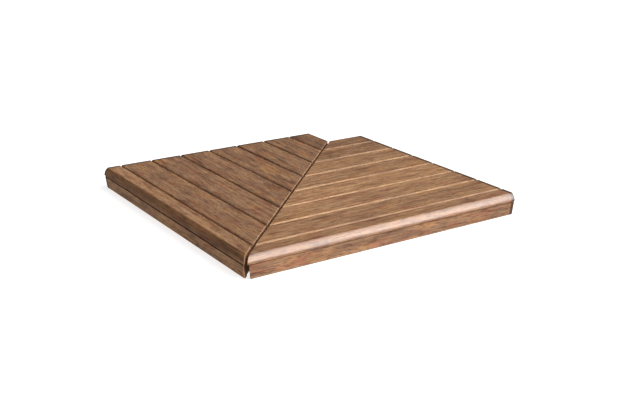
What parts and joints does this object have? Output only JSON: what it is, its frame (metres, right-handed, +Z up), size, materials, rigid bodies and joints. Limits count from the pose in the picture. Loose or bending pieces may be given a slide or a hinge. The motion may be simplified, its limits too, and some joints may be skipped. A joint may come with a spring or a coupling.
{
  "type": "mitred corner section of a slatted spa cover",
  "caption": "L-shaped hardwood corner section of a spa cover or surround: slatted leaves mitred at 45 degrees, with rounded nosings and fascias; one leaf lifts off.",
  "frame": {"origin": "centre of the footprint's bounding box, on the ground under the bearing pads", "axes": "+Z up; the right leaf's outer edge runs along +X at the lowest Y and the left leaf's along +Y at the lowest X; the notch for the spa's corner is at +X, +Y"},
  "size_m": [0.81, 0.8, 0.061],
  "materials": {
    "deck_hardwood": "oiled, planed",
    "nosing_hardwood": "oiled, planed and rounded over",
    "fascia_hardwood": "oiled, planed",
    "frame_hardwood": "sawn, unfinished",
    "stainless_screws": "plain",
    "pad_rubber": "matt"
  },
  "bodies": {
    "left_leaf": {"left_nosing": "nosing_hardwood", "left_deck_board_1": "deck_hardwood", "left_deck_board_2": "deck_hardwood", "left_deck_board_3": "deck_hardwood", "left_deck_board_4": "deck_hardwood", "left_deck_board_5": "deck_hardwood", "left_deck_board_6": "deck_hardwood", "left_deck_board_7": "deck_hardwood", "left_fascia": "fascia_hardwood", "left_front_rail": "frame_hardwood", "left_end_batten": "frame_hardwood", "left_mid_batten": "frame_hardwood", "left_mitre_batten": "frame_hardwood", "left_deck_screws": "stainless_screws", "left_rail_screws": "stainless_screws", "left_fascia_screws": "stainless_screws", "left_bearing_pads": "pad_rubber"},
    "right_leaf": {"right_nosing": "nosing_hardwood", "right_deck_board_1": "deck_hardwood", "right_deck_board_2": "deck_hardwood", "right_deck_board_3": "deck_hardwood", "right_deck_board_4": "deck_hardwood", "right_deck_board_5": "deck_hardwood", "right_deck_board_6": "deck_hardwood", "right_deck_board_7": "deck_hardwood", "right_fascia": "fascia_hardwood", "right_front_rail": "frame_hardwood", "right_end_batten": "frame_hardwood", "right_mid_batten": "frame_hardwood", "right_mitre_batten": "frame_hardwood", "right_deck_screws": "stainless_screws", "right_rail_screws": "stainless_screws", "right_fascia_screws": "stainless_screws", "right_bearing_pads": "pad_rubber"}
  },
  "joints": [
    {"name": "right_leaf_lift", "type": "slide", "parent": "left_leaf", "child": "right_leaf", "axis": [0, 0, 1], "range_m": [0, 0.25]}
  ]
}
